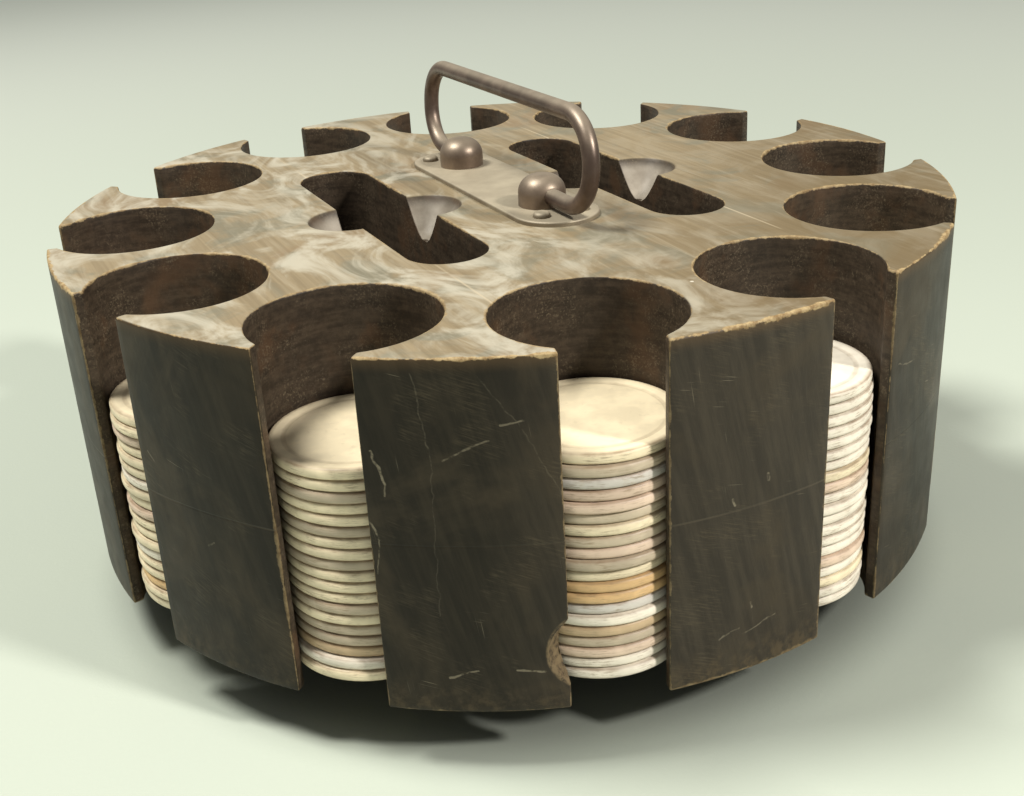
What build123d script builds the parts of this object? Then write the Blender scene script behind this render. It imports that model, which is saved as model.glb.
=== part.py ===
"""Revolving wooden poker chip carousel with two card pockets and a swinging bail handle.

Millimetres, +Z up.  The origin is on the table under the middle of the base.
The carousel turns about Z on a small fixed base.  Twelve chip wells are open to the rim.
The handle's axis runs along Y; the bail swings about it.
"""
import os
from math import asin, cos, radians, sin

from build123d import *

# ---------------------------------------------------------------- driving dimensions
body_radius = 114.5
layer_height = 40.0            # two glued layers make the wooden body
well_count = 12
well_radius = 20.1
well_circle = 94.3             # radius of the circle that the well centres lie on
well_start_angle = 15.0        # teeth, not wells, lie on the X and Y axes
rim_slot_width = 21.1          # opening between two teeth at the rim

pocket_length = 97.0           # a card deck stands on its long side in each pocket
pocket_width = 19.5
pocket_depth = 60.0
pocket_x = 32.3
scoop_radius = 10.6            # finger scoops beside each card pocket
scoop_tip_radius = 1.8
scoop_depth = 9.5

upper_joint_x = 38.5           # glue joints between the boards of each layer
lower_joint_x = pocket_x - pocket_width / 2

break_radius = 9.5             # the broken edge of one tooth is a shallow round bite
break_outwards = 3.0
break_sideways = 4.5

felt_thickness = 1.5
felt_inner_radius = 24.0
felt_outer_radius = 72.0
base_radius = 75.0
base_thickness = 10.0
thrust_washer_thickness = 2.3
turning_gap = 0.2

floor_radius = 100.0
floor_thickness = 5.0
floor_fit = 0.2
floor_screw_circle = 60.0
floor_screw_count = 6
floor_screw_radius = 1.75
floor_screw_head_radius = 3.5
floor_screw_head_height = 2.2
floor_screw_length = 17.0

bolt_radius = 4.0
bolt_head_radius = 9.0
bolt_head_height = 3.0
bolt_recess_radius = 11.0
bolt_recess_depth = 5.0
bolt_past_nut = 1.5
thrust_washer_radius = 22.0
bushing_radius = 6.5
bushing_fit = 0.05
nut_across_flats = 13.0
nut_height = 6.5
washer_radius = 9.0
washer_thickness = 1.5
hub_cavity_radius = 13.0
hub_cavity_height = 13.0

chip_radius = 19.05
chip_edge = 0.4
chip_gap = 0.06
chip_scatter = 0.55            # how far a chip may lie from its stack's axis
chip_pitch = 2.62

handle_x = 1.6                 # the handle was screwed on a little off centre
handle_y = 3.4
plate_length = 85.0
plate_width = 21.8
plate_thickness = 1.2
post_offset = 24.7             # post centres from the handle's centre
post_radius = 6.0
post_height = 7.6
post_dome_radius = 4.6
tenon_radius = 2.6
pin_height = 2.9               # pin axis above the plate
pin_depth = 1.6                # how far a pin passes the post's axis
rod_radius = 2.1
pin_fit = 0.06
bail_front_length = 49.0       # the bail is bent longer and rounder at its front end
bail_rear_length = 46.0
bail_rise = 22.0
front_foot_bend = 10.0
front_top_bend = 11.6
rear_foot_bend = 11.0
rear_top_bend = 10.0
bail_lean = 4.0                # degrees off upright at rest, towards +X
plate_screw_y = 34.8
plate_screw_x = 5.4
plate_screw_radius = 1.1
plate_screw_length = 12.0
plate_screw_head_radius = 2.2
plate_screw_head_height = 1.3

# ---------------------------------------------------------------- heights that follow
base_bottom = felt_thickness
base_top = base_bottom + base_thickness
washer_top = base_top + thrust_washer_thickness
body_bottom = washer_top + turning_gap
floor_top = body_bottom + floor_thickness
layer_joint = body_bottom + layer_height
body_top = layer_joint + layer_height
pocket_floor = body_top - pocket_depth
chips_bottom = floor_top + chip_gap
plate_top = body_top + plate_thickness
pin_z = plate_top + pin_height
break_z = body_bottom + 14.0

# Chips in each well, counter-clockwise from the well nearest +X.
stack_counts = [19, 20, 20, 19, 20, 20, 19, 19, 20, 20, 20, 19]
stack_angles = [well_start_angle + 360.0 / well_count * n for n in range(well_count)]
pushed_out_well = 7            # its two lowest chips have slid out towards the rim
pushed_out_chips = 2
pushed_out_by = 0.9
pushed_in_by = 0.5

os.makedirs("parts", exist_ok=True)


def save(piece, name):
    """Label a finished piece and write its STEP file."""
    piece.label = name
    export_step(piece, f"parts/{name}.step")


# ---------------------------------------------------------------- fixed base
with BuildPart() as felt_pad:
    with BuildSketch(Plane.XY):
        Circle(felt_outer_radius)
        Circle(felt_inner_radius, mode=Mode.SUBTRACT)
    extrude(amount=felt_thickness)
save(felt_pad.part, "felt_pad")

with BuildPart() as base_disc:
    with BuildSketch(Plane.XY.offset(base_bottom)):
        Circle(base_radius)
    extrude(amount=base_thickness)
    fillet(base_disc.edges().filter_by(GeomType.CIRCLE), radius=2.0)
    with BuildSketch(Plane.XY.offset(base_bottom)):
        Circle(bolt_recess_radius)
    extrude(amount=bolt_recess_depth, mode=Mode.SUBTRACT)
    with BuildSketch(Plane.XY.offset(base_bottom)):
        Circle(bolt_radius)
    extrude(amount=base_thickness, mode=Mode.SUBTRACT)
save(base_disc.part, "base_disc")

with BuildPart() as thrust_washer:
    with BuildSketch(Plane.XY.offset(base_top)):
        Circle(thrust_washer_radius)
        Circle(bolt_radius, mode=Mode.SUBTRACT)
    extrude(amount=thrust_washer_thickness)
save(thrust_washer.part, "thrust_washer")

bolt_seat = base_bottom + bolt_recess_depth
top_washer_bottom = floor_top + turning_gap
nut_bottom = top_washer_bottom + washer_thickness
bolt_end = nut_bottom + nut_height + bolt_past_nut

with BuildPart() as pivot_bolt:
    with BuildSketch(Plane.XY.offset(bolt_seat - bolt_head_height)):
        Circle(bolt_head_radius)
    extrude(amount=bolt_head_height)
    fillet(pivot_bolt.faces().sort_by(Axis.Z)[0].edges(), radius=2.0)
    with BuildSketch(Plane.XY.offset(bolt_seat)):
        Circle(bolt_radius)
    extrude(amount=bolt_end - bolt_seat)
    chamfer(pivot_bolt.faces().sort_by(Axis.Z)[-1].edges(), length=0.7)
save(pivot_bolt.part, "pivot_bolt")

with BuildPart() as top_washer:
    with BuildSketch(Plane.XY.offset(top_washer_bottom)):
        Circle(washer_radius)
        Circle(bolt_radius, mode=Mode.SUBTRACT)
    extrude(amount=washer_thickness)
save(top_washer.part, "top_washer")

with BuildPart() as pivot_nut:
    with BuildSketch(Plane.XY.offset(nut_bottom)):
        RegularPolygon(nut_across_flats / 2, 6, major_radius=False)
        Circle(bolt_radius, mode=Mode.SUBTRACT)
    extrude(amount=nut_height)
save(pivot_nut.part, "pivot_nut")

# ---------------------------------------------------------------- chip floor
with BuildPart() as floor_disc:
    with BuildSketch(Plane.XY.offset(body_bottom)):
        Circle(floor_radius)
        Circle(bushing_radius, mode=Mode.SUBTRACT)
    extrude(amount=floor_thickness)
    with Locations(Plane.XY.offset(body_bottom) * Rotation(180, 0, 0)):
        with PolarLocations(floor_screw_circle, floor_screw_count):
            CounterSinkHole(floor_screw_radius, floor_screw_head_radius, floor_thickness, 90)
save(floor_disc.part, "floor_disc")

with BuildPart() as pivot_bushing:
    with BuildSketch(Plane.XY.offset(body_bottom)):
        Circle(bushing_radius)
        Circle(bolt_radius + bushing_fit, mode=Mode.SUBTRACT)
    extrude(amount=floor_thickness)
save(pivot_bushing.part, "pivot_bushing")

with BuildPart() as floor_screws:
    with BuildSketch(Plane.XY.offset(body_bottom)):
        with PolarLocations(floor_screw_circle, floor_screw_count):
            Circle(floor_screw_radius)
    extrude(amount=floor_screw_length)
    with PolarLocations(floor_screw_circle, floor_screw_count):
        with Locations((0, 0, body_bottom)):
            Cone(
                floor_screw_head_radius - 0.05,
                floor_screw_radius,
                floor_screw_head_radius - floor_screw_radius,
                align=(Align.CENTER, Align.CENTER, Align.MIN),
            )
save(floor_screws.part, "floor_screws")


# ---------------------------------------------------------------- wooden body
def body_outline():
    """The body seen from above: a disc with twelve wells open to the rim."""
    Circle(body_radius)
    with PolarLocations(well_circle, well_count, start_angle=well_start_angle):
        Circle(well_radius, mode=Mode.SUBTRACT)
        Rectangle(
            body_radius,
            rim_slot_width,
            align=(Align.MIN, Align.CENTER),
            mode=Mode.SUBTRACT,
        )


def card_pockets(mode=Mode.ADD):
    """Two round-ended slots, either side of the handle."""
    with Locations((-pocket_x, 0), (pocket_x, 0)):
        SlotOverall(pocket_length, pocket_width, rotation=90, mode=mode)


def strip(low_x, high_x):
    """Keep only the board between two glue joints."""
    with Locations(((low_x + high_x) / 2, 0)):
        Rectangle(high_x - low_x, 3 * body_radius, mode=Mode.INTERSECT)


def strips(joint_x):
    """The three boards of one layer: name, low x and high x."""
    return [
        ("left", -2 * body_radius, -joint_x),
        ("middle", -joint_x, joint_x),
        ("right", joint_x, 2 * body_radius),
    ]


edge_angle = radians(-120.0 + 180.0 / well_count) - asin(rim_slot_width / 2 / body_radius)
break_angle = edge_angle + break_sideways / body_radius
break_reach = body_radius + break_outwards

for name, low_x, high_x in strips(lower_joint_x):
    with BuildPart() as lower_board:
        with BuildSketch(Plane.XY.offset(body_bottom)):
            body_outline()
            strip(low_x, high_x)
        extrude(amount=layer_height)
        # rebate for the chip floor
        with BuildSketch(Plane.XY.offset(body_bottom)):
            Circle(floor_radius + floor_fit)
        extrude(amount=floor_thickness, mode=Mode.SUBTRACT)
        # room for the nut and washer
        with BuildSketch(Plane.XY.offset(floor_top)):
            Circle(hub_cavity_radius)
        extrude(amount=hub_cavity_height, mode=Mode.SUBTRACT)
        # card pockets
        with BuildSketch(Plane.XY.offset(pocket_floor)):
            card_pockets()
        extrude(amount=layer_joint - pocket_floor, mode=Mode.SUBTRACT)
        # pilot holes for the floor screws
        with BuildSketch(Plane.XY.offset(floor_top)):
            with PolarLocations(floor_screw_circle, floor_screw_count):
                Circle(floor_screw_radius)
        extrude(amount=floor_screw_length - floor_thickness, mode=Mode.SUBTRACT)
        # a piece has broken off the low edge of one tooth
        break_spot = (break_reach * cos(break_angle), break_reach * sin(break_angle), break_z)
        with Locations(break_spot):
            Sphere(break_radius, mode=Mode.SUBTRACT)
    save(lower_board.part, f"lower_board_{name}")

for name, low_x, high_x in strips(upper_joint_x):
    with BuildPart() as upper_board:
        with BuildSketch(Plane.XY.offset(layer_joint)):
            body_outline()
            card_pockets(Mode.SUBTRACT)
            strip(low_x, high_x)
        extrude(amount=layer_height)
        # finger scoops on both long walls of each pocket
        for side in (-1, 1):
            for wall in (-1, 1):
                with Locations((side * pocket_x + wall * pocket_width / 2, 0, body_top)):
                    Cone(
                        scoop_tip_radius,
                        scoop_radius,
                        scoop_depth,
                        align=(Align.CENTER, Align.CENTER, Align.MAX),
                        mode=Mode.SUBTRACT,
                    )
        # pilot holes for the plate screws
        with BuildSketch(Plane.XY.offset(body_top)):
            with Locations((handle_x, handle_y)):
                with GridLocations(2 * plate_screw_x, 2 * plate_screw_y, 2, 2):
                    Circle(plate_screw_radius)
        extrude(amount=-plate_screw_length, mode=Mode.SUBTRACT)
    save(upper_board.part, f"upper_board_{name}")

# ---------------------------------------------------------------- handle
with BuildPart() as handle_plate:
    with BuildSketch(Plane.XY.offset(body_top)):
        with Locations((handle_x, handle_y)):
            SlotOverall(plate_length, plate_width, rotation=90)
            with GridLocations(0, 2 * post_offset, 1, 2):
                Circle(tenon_radius, mode=Mode.SUBTRACT)
            with GridLocations(2 * plate_screw_x, 2 * plate_screw_y, 2, 2):
                Circle(plate_screw_radius, mode=Mode.SUBTRACT)
    extrude(amount=plate_thickness)
    plate_rim = handle_plate.faces().sort_by(Axis.Z)[-1].outer_wire().edges()
    fillet(plate_rim, radius=0.5)
save(handle_plate.part, "handle_plate")

for name, side in (("front", -1), ("rear", 1)):
    post_y = handle_y + side * post_offset
    with BuildPart() as post:
        with BuildSketch(Plane.XY.offset(plate_top)):
            with Locations((handle_x, post_y)):
                Circle(post_radius)
        extrude(amount=post_height)
        fillet(post.faces().sort_by(Axis.Z)[-1].edges(), radius=post_dome_radius)
        # tenon riveted into the plate
        with BuildSketch(Plane.XY.offset(body_top)):
            with Locations((handle_x, post_y)):
                Circle(tenon_radius)
        extrude(amount=plate_thickness)
        # the bail's pin enters from the outer end
        pin_plane = Plane(
            origin=(handle_x, post_y - side * (pin_depth + 0.4), pin_z),
            z_dir=(0, side, 0),
        )
        with BuildSketch(pin_plane):
            Circle(rod_radius + pin_fit)
        extrude(amount=2 * post_radius, mode=Mode.SUBTRACT)
    save(post.part, f"post_{name}")

with BuildPart() as plate_screws:
    with BuildSketch(Plane.XY.offset(plate_top)):
        with Locations((handle_x, handle_y)):
            with GridLocations(2 * plate_screw_x, 2 * plate_screw_y, 2, 2):
                Circle(plate_screw_head_radius)
    extrude(amount=plate_screw_head_height)
    head_tops = plate_screws.faces().group_by(Axis.Z)[-1]
    fillet(head_tops.edges(), radius=1.1)
    with BuildSketch(Plane.XY.offset(plate_top)):
        with Locations((handle_x, handle_y)):
            with GridLocations(2 * plate_screw_x, 2 * plate_screw_y, 2, 2):
                Circle(plate_screw_radius)
    extrude(amount=-plate_screw_length)
save(plate_screws.part, "plate_screws")

pin_tip = post_offset - pin_depth
bail_top = pin_z + bail_rise
with BuildPart() as bail:
    with BuildLine(Plane.YZ.offset(handle_x)) as bail_path:
        FilletPolyline(
            (handle_y + pin_tip, pin_z),
            (handle_y + bail_rear_length, pin_z),
            (handle_y + bail_rear_length, bail_top),
            (handle_y - bail_front_length, bail_top),
            (handle_y - bail_front_length, pin_z),
            (handle_y - pin_tip, pin_z),
            radius=[rear_foot_bend, rear_top_bend, front_top_bend, front_foot_bend],
        )
    with BuildSketch(Plane(origin=(handle_x, handle_y + pin_tip, pin_z), z_dir=(0, 1, 0))):
        Circle(rod_radius)
    sweep()
hinge_axis = Axis((handle_x, handle_y, pin_z), (0, 1, 0))
save(bail.part.rotate(hinge_axis, bail_lean), "bail")


# ---------------------------------------------------------------- chips
def chip_shift(well, level):
    """Where one chip lies from its stack's axis: outwards, then sideways."""
    turn = 2.4 * level + 1.7 * well
    reach = chip_scatter * (0.5 + 0.5 * sin(1.3 * level + well))
    outward = reach * cos(turn)
    sideways = reach * sin(turn)
    if well == pushed_out_well:
        lowest = level < pushed_out_chips
        outward = pushed_out_by if lowest else -pushed_in_by + 0.5 * outward
        sideways = 0.5 * sideways
    return outward, sideways


for well, (angle, count) in enumerate(zip(stack_angles, stack_counts)):
    radial = Plane.XY.rotated((0, 0, angle))
    with BuildPart() as chip_stack:
        for level in range(count):
            outward, sideways = chip_shift(well, level)
            with BuildSketch(radial.offset(chips_bottom + chip_pitch * level)):
                with Locations((well_circle + outward, sideways)):
                    Circle(chip_radius)
            extrude(amount=chip_pitch - chip_gap)
        chamfer(chip_stack.edges().filter_by(GeomType.CIRCLE), length=chip_edge)
    save(chip_stack.part, f"chip_stack_{well + 1:02d}")
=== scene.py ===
import math
import random

import bmesh
import bpy
import numpy as np
from mathutils import Matrix, Vector, noise


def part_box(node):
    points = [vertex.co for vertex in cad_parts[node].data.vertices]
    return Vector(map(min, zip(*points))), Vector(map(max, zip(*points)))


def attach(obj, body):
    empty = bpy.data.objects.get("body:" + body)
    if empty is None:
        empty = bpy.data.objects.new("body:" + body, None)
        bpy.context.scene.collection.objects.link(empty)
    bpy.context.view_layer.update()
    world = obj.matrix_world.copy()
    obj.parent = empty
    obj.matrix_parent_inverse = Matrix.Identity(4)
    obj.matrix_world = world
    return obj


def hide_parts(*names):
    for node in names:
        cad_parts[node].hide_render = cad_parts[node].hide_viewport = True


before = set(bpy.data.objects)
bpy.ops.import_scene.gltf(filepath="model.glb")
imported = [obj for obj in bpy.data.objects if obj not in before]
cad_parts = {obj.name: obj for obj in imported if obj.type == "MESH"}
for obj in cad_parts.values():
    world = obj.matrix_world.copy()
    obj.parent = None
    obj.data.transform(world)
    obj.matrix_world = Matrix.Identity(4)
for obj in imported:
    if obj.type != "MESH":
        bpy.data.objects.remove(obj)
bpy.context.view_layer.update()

MM = 0.001

# ---------------------------------------------------------------- sizes and places
middle_low, middle_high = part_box("upper_board_middle")
BODY_RADIUS = float(middle_high[1])
BODY_TOP = float(middle_high[2])
LAYER_JOINT = float(middle_low[2])
BODY_BOTTOM = float(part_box("lower_board_middle")[0][2])
FLOOR_DISC_TOP = float(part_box("floor_disc")[1][2])

WELLS = 12
WELL_PITCH = 2 * math.pi / WELLS
WELL_START = WELL_PITCH / 2
WELL_CIRCLE = 94.3 * MM
WELL_RADIUS = 20.1 * MM
RIM_SLOT = 21.1 * MM
POCKET_X = 32.3 * MM
POCKET_LENGTH = 97 * MM
POCKET_WIDTH = 19.5 * MM
POCKET_FLOOR = BODY_TOP - 60 * MM
SCOOP_RADIUS = 10.6 * MM
SCOOP_TIP = 1.8 * MM
SCOOP_DEPTH = 9.5 * MM
SCOOP_SWELL = 0.72
BOARD_JOINT_X = float(middle_high[0])
REBATE_RADIUS = 100.2 * MM
EDGE_INSET = 1.2 * MM
ROUNDING = 1.0 * MM
SAME_PLACE = 0.001 * MM

# Heights of the rows of faces: the layers' sides, the pockets' walls and the finger scoops.
UPPER_STEP = 4 * MM
LOWER_STEP = 2 * MM
POCKET_STEP = 8 * MM
SCOOP_STEP = 1.2 * MM

CHIP_PITCH = 2.62 * MM

# One tooth has a bite broken out of its low edge.
BROKEN_TOOTH = math.radians(-120)
EDGE_ANGLE = BROKEN_TOOTH + WELL_PITCH / 2 - math.asin(RIM_SLOT / 2 / BODY_RADIUS)
BREAK_RADIUS = 9.5 * MM
BREAK_ANGLE = EDGE_ANGLE + 4.5 * MM / BODY_RADIUS
BREAK_REACH = BODY_RADIUS + 3 * MM
BREAK_CENTRE = Vector((
    BREAK_REACH * math.cos(BREAK_ANGLE),
    BREAK_REACH * math.sin(BREAK_ANGLE),
    BODY_BOTTOM + 14 * MM,
))


# ---------------------------------------------------------------- material helper
class Graph:
    """A material and short calls that add and join its nodes.  Lengths are in millimetres."""

    def __init__(self, name):
        self.material = bpy.data.materials.new(name)
        self.material.use_nodes = True
        self.tree = self.material.node_tree
        self.shader = self.tree.nodes["Principled BSDF"]
        self.coordinates = self.node("ShaderNodeTexCoord")
        scaled = self.node("ShaderNodeVectorMath", operation="SCALE")
        self.join(self.coordinates.outputs["Object"], scaled.inputs[0])
        scaled.inputs["Scale"].default_value = 1 / MM
        self.place = scaled.outputs[0]

    def node(self, kind, **settings):
        made = self.tree.nodes.new(kind)
        for key, value in settings.items():
            setattr(made, key, value)
        return made

    def join(self, value, socket):
        if isinstance(value, bpy.types.NodeSocket):
            self.tree.links.new(value, socket)
        elif isinstance(value, tuple) and len(value) == 3 and socket.type == "RGBA":
            socket.default_value = (*value, 1)
        else:
            socket.default_value = value

    def math(self, operation, *values, clamp=False):
        made = self.node("ShaderNodeMath", operation=operation, use_clamp=clamp)
        for value, socket in zip(values, made.inputs):
            self.join(value, socket)
        return made.outputs[0]

    def least(self, *values):
        result = values[0]
        for value in values[1:]:
            result = self.math("MINIMUM", result, value)
        return result

    def length(self, a, b):
        squares = self.math("ADD", self.math("MULTIPLY", a, a), self.math("MULTIPLY", b, b))
        return self.math("SQRT", squares)

    def fade(self, value, start, end):
        """0 up to start, 1 from end on, and smooth between them."""
        made = self.node("ShaderNodeMapRange", interpolation_type="SMOOTHSTEP")
        self.join(value, made.inputs["Value"])
        self.join(start, made.inputs["From Min"])
        self.join(end, made.inputs["From Max"])
        return made.outputs["Result"]

    def between(self, value, low, high):
        """Spreads a 0 to 1 value over low to high."""
        made = self.node("ShaderNodeMapRange")
        self.join(value, made.inputs["Value"])
        self.join(low, made.inputs["To Min"])
        self.join(high, made.inputs["To Max"])
        return made.outputs["Result"]

    def mix(self, factor, a, b, blend="MIX"):
        made = self.node("ShaderNodeMix", data_type="RGBA", blend_type=blend)
        self.join(factor, made.inputs[0])
        self.join(a, made.inputs[6])
        self.join(b, made.inputs[7])
        return made.outputs[2]

    def stretched(self, factors, turn=(0.0, 0.0, 0.0), source=None):
        made = self.node("ShaderNodeMapping", vector_type="TEXTURE")
        self.join(source or self.place, made.inputs["Vector"])
        made.inputs["Rotation"].default_value = turn
        made.inputs["Scale"].default_value = factors
        return made.outputs[0]

    def noise(self, size, detail=3.0, roughness=0.55, vector=None, distortion=0.0):
        """Noise from 0 to 1 whose blotches are about this many millimetres across."""
        made = self.node("ShaderNodeTexNoise")
        self.join(vector or self.place, made.inputs["Vector"])
        made.inputs["Scale"].default_value = 1 / size
        made.inputs["Detail"].default_value = detail
        made.inputs["Roughness"].default_value = roughness
        made.inputs["Distortion"].default_value = distortion
        return made.outputs["Fac"]

    def specks(self, spacing, size):
        """Scattered dots: 1 in a dot, 0 elsewhere."""
        made = self.node("ShaderNodeTexVoronoi")
        self.join(self.place, made.inputs["Vector"])
        made.inputs["Scale"].default_value = 1 / spacing
        return self.fade(made.outputs["Distance"], size / spacing, 0.6 * size / spacing)

    def bump(self, height, distance, strength=1.0, below=None):
        made = self.node("ShaderNodeBump")
        self.join(height, made.inputs["Height"])
        made.inputs["Distance"].default_value = distance * MM
        made.inputs["Strength"].default_value = strength
        if below:
            self.join(below, made.inputs["Normal"])
        return made.outputs["Normal"]

    def finish(self, colour, roughness, normal=None, metallic=0.0, **values):
        self.join(colour, self.shader.inputs["Base Color"])
        self.join(roughness, self.shader.inputs["Roughness"])
        self.join(metallic, self.shader.inputs["Metallic"])
        if normal:
            self.join(normal, self.shader.inputs["Normal"])
        for key, value in values.items():
            self.shader.inputs[key.replace("_", " ")].default_value = value
        return self.material


# ---------------------------------------------------------------- materials
def body_distances(g):
    """Places in the body, and distances to its rim, wells, pockets, scoops, top and underside."""
    split = g.node("ShaderNodeSeparateXYZ")
    g.join(g.place, split.inputs[0])
    x, y, z = split.outputs
    reach = g.length(x, y)
    angle = g.math("SUBTRACT", g.math("ARCTAN2", y, x), WELL_START)
    folded = g.math("WRAP", angle, WELL_PITCH / 2, -WELL_PITCH / 2)
    along = g.math("MULTIPLY", reach, g.math("COSINE", folded))
    across = g.math("ABSOLUTE", g.math("MULTIPLY", reach, g.math("SINE", folded)))
    from_well = g.math("SUBTRACT", along, WELL_CIRCLE / MM)
    well = g.math("SUBTRACT", g.length(from_well, across), WELL_RADIUS / MM)
    inside = g.math("MULTIPLY", from_well, -1.0)
    slot = g.math("MAXIMUM", g.math("SUBTRACT", across, RIM_SLOT / 2 / MM), inside)
    rim = g.math("SUBTRACT", BODY_RADIUS / MM, reach)
    side = g.math("SUBTRACT", g.math("ABSOLUTE", x), POCKET_X / MM)
    half_straight = (POCKET_LENGTH - POCKET_WIDTH) / 2 / MM
    past_end = g.math("MAXIMUM", g.math("SUBTRACT", g.math("ABSOLUTE", y), half_straight), 0.0)
    pocket = g.math("SUBTRACT", g.length(side, past_end), POCKET_WIDTH / 2 / MM)
    from_wall = g.math("SUBTRACT", g.math("ABSOLUTE", side), POCKET_WIDTH / 2 / MM)
    top = g.math("SUBTRACT", BODY_TOP / MM, z)
    share = g.math("SUBTRACT", 1.0, g.math("DIVIDE", top, SCOOP_DEPTH / MM))
    swell = g.math("POWER", g.math("MAXIMUM", share, 0.0), SCOOP_SWELL)
    cone = g.math("ADD", g.math("MULTIPLY", swell, (SCOOP_RADIUS - SCOOP_TIP) / MM), SCOOP_TIP / MM)
    scoop = g.math("SUBTRACT", g.length(from_wall, y), cone)
    return {
        "x": x,
        "y": y,
        "z": z,
        "rim": rim,
        "hole": g.least(well, slot),
        "pocket": pocket,
        "scoop": scoop,
        "top": top,
        "bottom": g.math("SUBTRACT", z, BODY_BOTTOM / MM),
    }


def face_shares(g, d):
    """1 on the top, and 1 on the outer faces, with 0 elsewhere."""
    facing = g.node("ShaderNodeSeparateXYZ")
    g.join(g.coordinates.outputs["Normal"], facing.inputs[0])
    upward = g.math("MULTIPLY", g.fade(facing.outputs[2], 0.55, 0.9), g.fade(d["top"], 1.5, 0.8))
    outward = g.math("MULTIPLY", g.fade(d["rim"], 0.7, 0.3), g.math("SUBTRACT", 1.0, upward))
    return upward, outward


def unrolled(g, d):
    """Millimetres round the rim from the broken tooth's middle, then height above the underside."""
    angle = g.math("SUBTRACT", g.math("ARCTAN2", d["y"], d["x"]), BROKEN_TOOTH)
    seam = math.pi + WELL_PITCH / 2
    turned = g.math("WRAP", angle, seam, seam - 2 * math.pi)
    spot = g.node("ShaderNodeCombineXYZ")
    g.join(g.math("MULTIPLY", turned, BODY_RADIUS / MM), spot.inputs[0])
    g.join(g.math("SUBTRACT", d["z"], BODY_BOTTOM / MM), spot.inputs[1])
    return spot.outputs[0]


def scratch_marks(g, spot, turn, reach, width, amount):
    """Sparse thin marks that run one way across the outer faces."""
    marks = g.noise(1.0, 1.0, 0.4, g.stretched((width, reach, 1.0), (0, 0, turn), spot))
    patches = g.noise(15.0, 2.0, 0.5, spot)
    lines = g.fade(marks, 0.70, 0.78)
    return g.math("MULTIPLY", g.math("MULTIPLY", lines, g.fade(patches, 0.52, 0.64)), amount)


# Scratches on the outer faces: start and end as millimetres round the rim from the broken tooth's
# middle and millimetres above the body's underside, then width and strength.
SCRATCHES = (
    ((-8.0, 77.0), (-5.5, 58.0), 0.22, 0.18),
    ((-5.5, 58.0), (-6.5, 24.0), 0.18, 0.11),
    ((4.5, 76.0), (11.5, 66.0), 0.20, 0.12),
    ((11.5, 66.0), (22.5, 44.0), 0.20, 0.12),
    ((-3.5, 59.0), (5.5, 63.0), 0.30, 0.42),
    ((8.0, 66.5), (12.5, 66.8), 0.32, 0.45),
    ((-17.5, 60.5), (-14.8, 53.5), 0.42, 0.75),
    ((-14.8, 53.5), (-15.2, 51.0), 0.32, 0.5),
    ((-19.5, 46.0), (-17.6, 41.0), 0.36, 0.7),
    ((-17.6, 41.0), (-18.5, 33.0), 0.22, 0.45),
    ((-5.5, 9.0), (0.5, 10.6), 0.36, 0.6),
    ((8.5, 10.5), (14.0, 9.6), 0.36, 0.6),
    ((52.0, 10.0), (57.0, 11.4), 0.30, 0.40),
    ((58.0, 9.6), (66.0, 12.0), 0.26, 0.35),
    ((55.0, 43.0), (55.4, 41.2), 0.42, 0.6),
    ((63.0, 46.5), (63.2, 45.0), 0.45, 0.6),
    ((59.5, 17.0), (59.8, 15.6), 0.40, 0.5),
    ((-76.0, 50.0), (-73.5, 48.0), 0.30, 0.4),
    ((-60.0, 31.5), (-58.0, 33.0), 0.30, 0.35),
    ((104.0, 58.0), (112.0, 56.0), 0.25, 0.35),
    ((-128.0, 40.0), (-119.0, 45.0), 0.25, 0.35),
)


def named_scratches(g, spot):
    """The listed scratches, a little wavy and broken."""
    wave = g.node("ShaderNodeTexNoise")
    g.join(spot, wave.inputs["Vector"])
    wave.inputs["Scale"].default_value = 0.25
    bent = g.node("ShaderNodeVectorMath", operation="MULTIPLY_ADD")
    g.join(wave.outputs["Color"], bent.inputs[0])
    bent.inputs[1].default_value = (1.8, 1.8, 0)
    g.join(spot, bent.inputs[2])
    total = 0.0
    for start, end, width, strength in SCRATCHES:
        run = Vector(end) - Vector(start)
        offset = g.node("ShaderNodeVectorMath", operation="SUBTRACT")
        g.join(bent.outputs[0], offset.inputs[0])
        offset.inputs[1].default_value = (start[0] + 0.9, start[1] + 0.9, 0)
        along = g.node("ShaderNodeVectorMath", operation="DOT_PRODUCT")
        g.join(offset.outputs[0], along.inputs[0])
        along.inputs[1].default_value = (run.x / run.length_squared, run.y / run.length_squared, 0)
        share = g.math("ADD", along.outputs["Value"], 0.0, clamp=True)
        nearest = g.node("ShaderNodeVectorMath", operation="SCALE")
        nearest.inputs[0].default_value = (run.x, run.y, 0)
        g.join(share, nearest.inputs["Scale"])
        gap = g.node("ShaderNodeVectorMath", operation="DISTANCE")
        g.join(offset.outputs[0], gap.inputs[0])
        g.join(nearest.outputs[0], gap.inputs[1])
        mark = g.math("MULTIPLY", g.fade(gap.outputs["Value"], width, width * 0.3), strength)
        total = g.math("MAXIMUM", mark, total)
    return g.math("MULTIPLY", total, g.fade(g.noise(1.5, 3.0, 0.6), 0.3, 0.6))


def all_scratches(g, spot):
    marks = g.math(
        "MAXIMUM",
        scratch_marks(g, spot, 0.15, 14.0, 0.40, 0.30),
        scratch_marks(g, spot, 1.35, 8.0, 0.40, 0.40),
    )
    return g.math("MAXIMUM", marks, named_scratches(g, spot))


def crisp(g, distance, reach):
    """1 on the edge and 0 from this distance on, with a narrow step between them."""
    return g.fade(distance, reach, g.math("MULTIPLY", reach, 0.55))


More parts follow.
